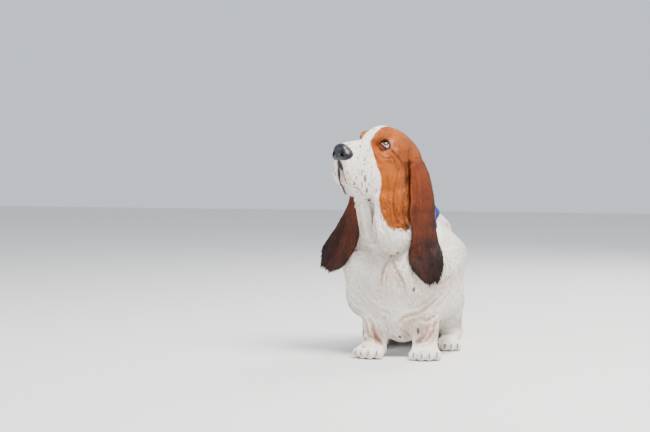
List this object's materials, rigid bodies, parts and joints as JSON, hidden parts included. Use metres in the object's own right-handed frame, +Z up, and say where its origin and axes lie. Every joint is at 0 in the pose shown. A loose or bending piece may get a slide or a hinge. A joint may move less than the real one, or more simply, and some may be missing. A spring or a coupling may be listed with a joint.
{
  "type": "basset hound",
  "caption": "Life-size still model of a basset hound with a webbing collar, sitting on the floor with its head raised and turned and its long ears hanging.",
  "frame": {"origin": "on the floor, in the middle of the flat that the rump sits on", "axes": "+Z up, -Y the way the chest faces, +X the dog's own left"},
  "size_m": [0.3607, 0.7681, 0.5786],
  "materials": {
    "coat": "short smooth white coat with red-brown patches",
    "ear_coat": "short silky coat, red-brown to dark brown",
    "nose": "black pebbled nose leather, moist",
    "eye": "wet, dark brown",
    "webbing": "blue woven webbing"
  },
  "bodies": {
    "root": {"head": "coat", "neck": "coat", "torso": "coat", "tail": "coat", "foreleg_left": "coat", "foreleg_right": "coat", "forepaw_left": "coat", "forepaw_right": "coat", "hindleg_left": "coat", "hindleg_right": "coat", "hindfoot_left": "coat", "hindfoot_right": "coat", "ear_left": "ear_coat", "ear_right": "ear_coat", "nose": "nose", "eye_left": "eye", "eye_right": "eye", "collar": "webbing"}
  },
  "joints": []
}
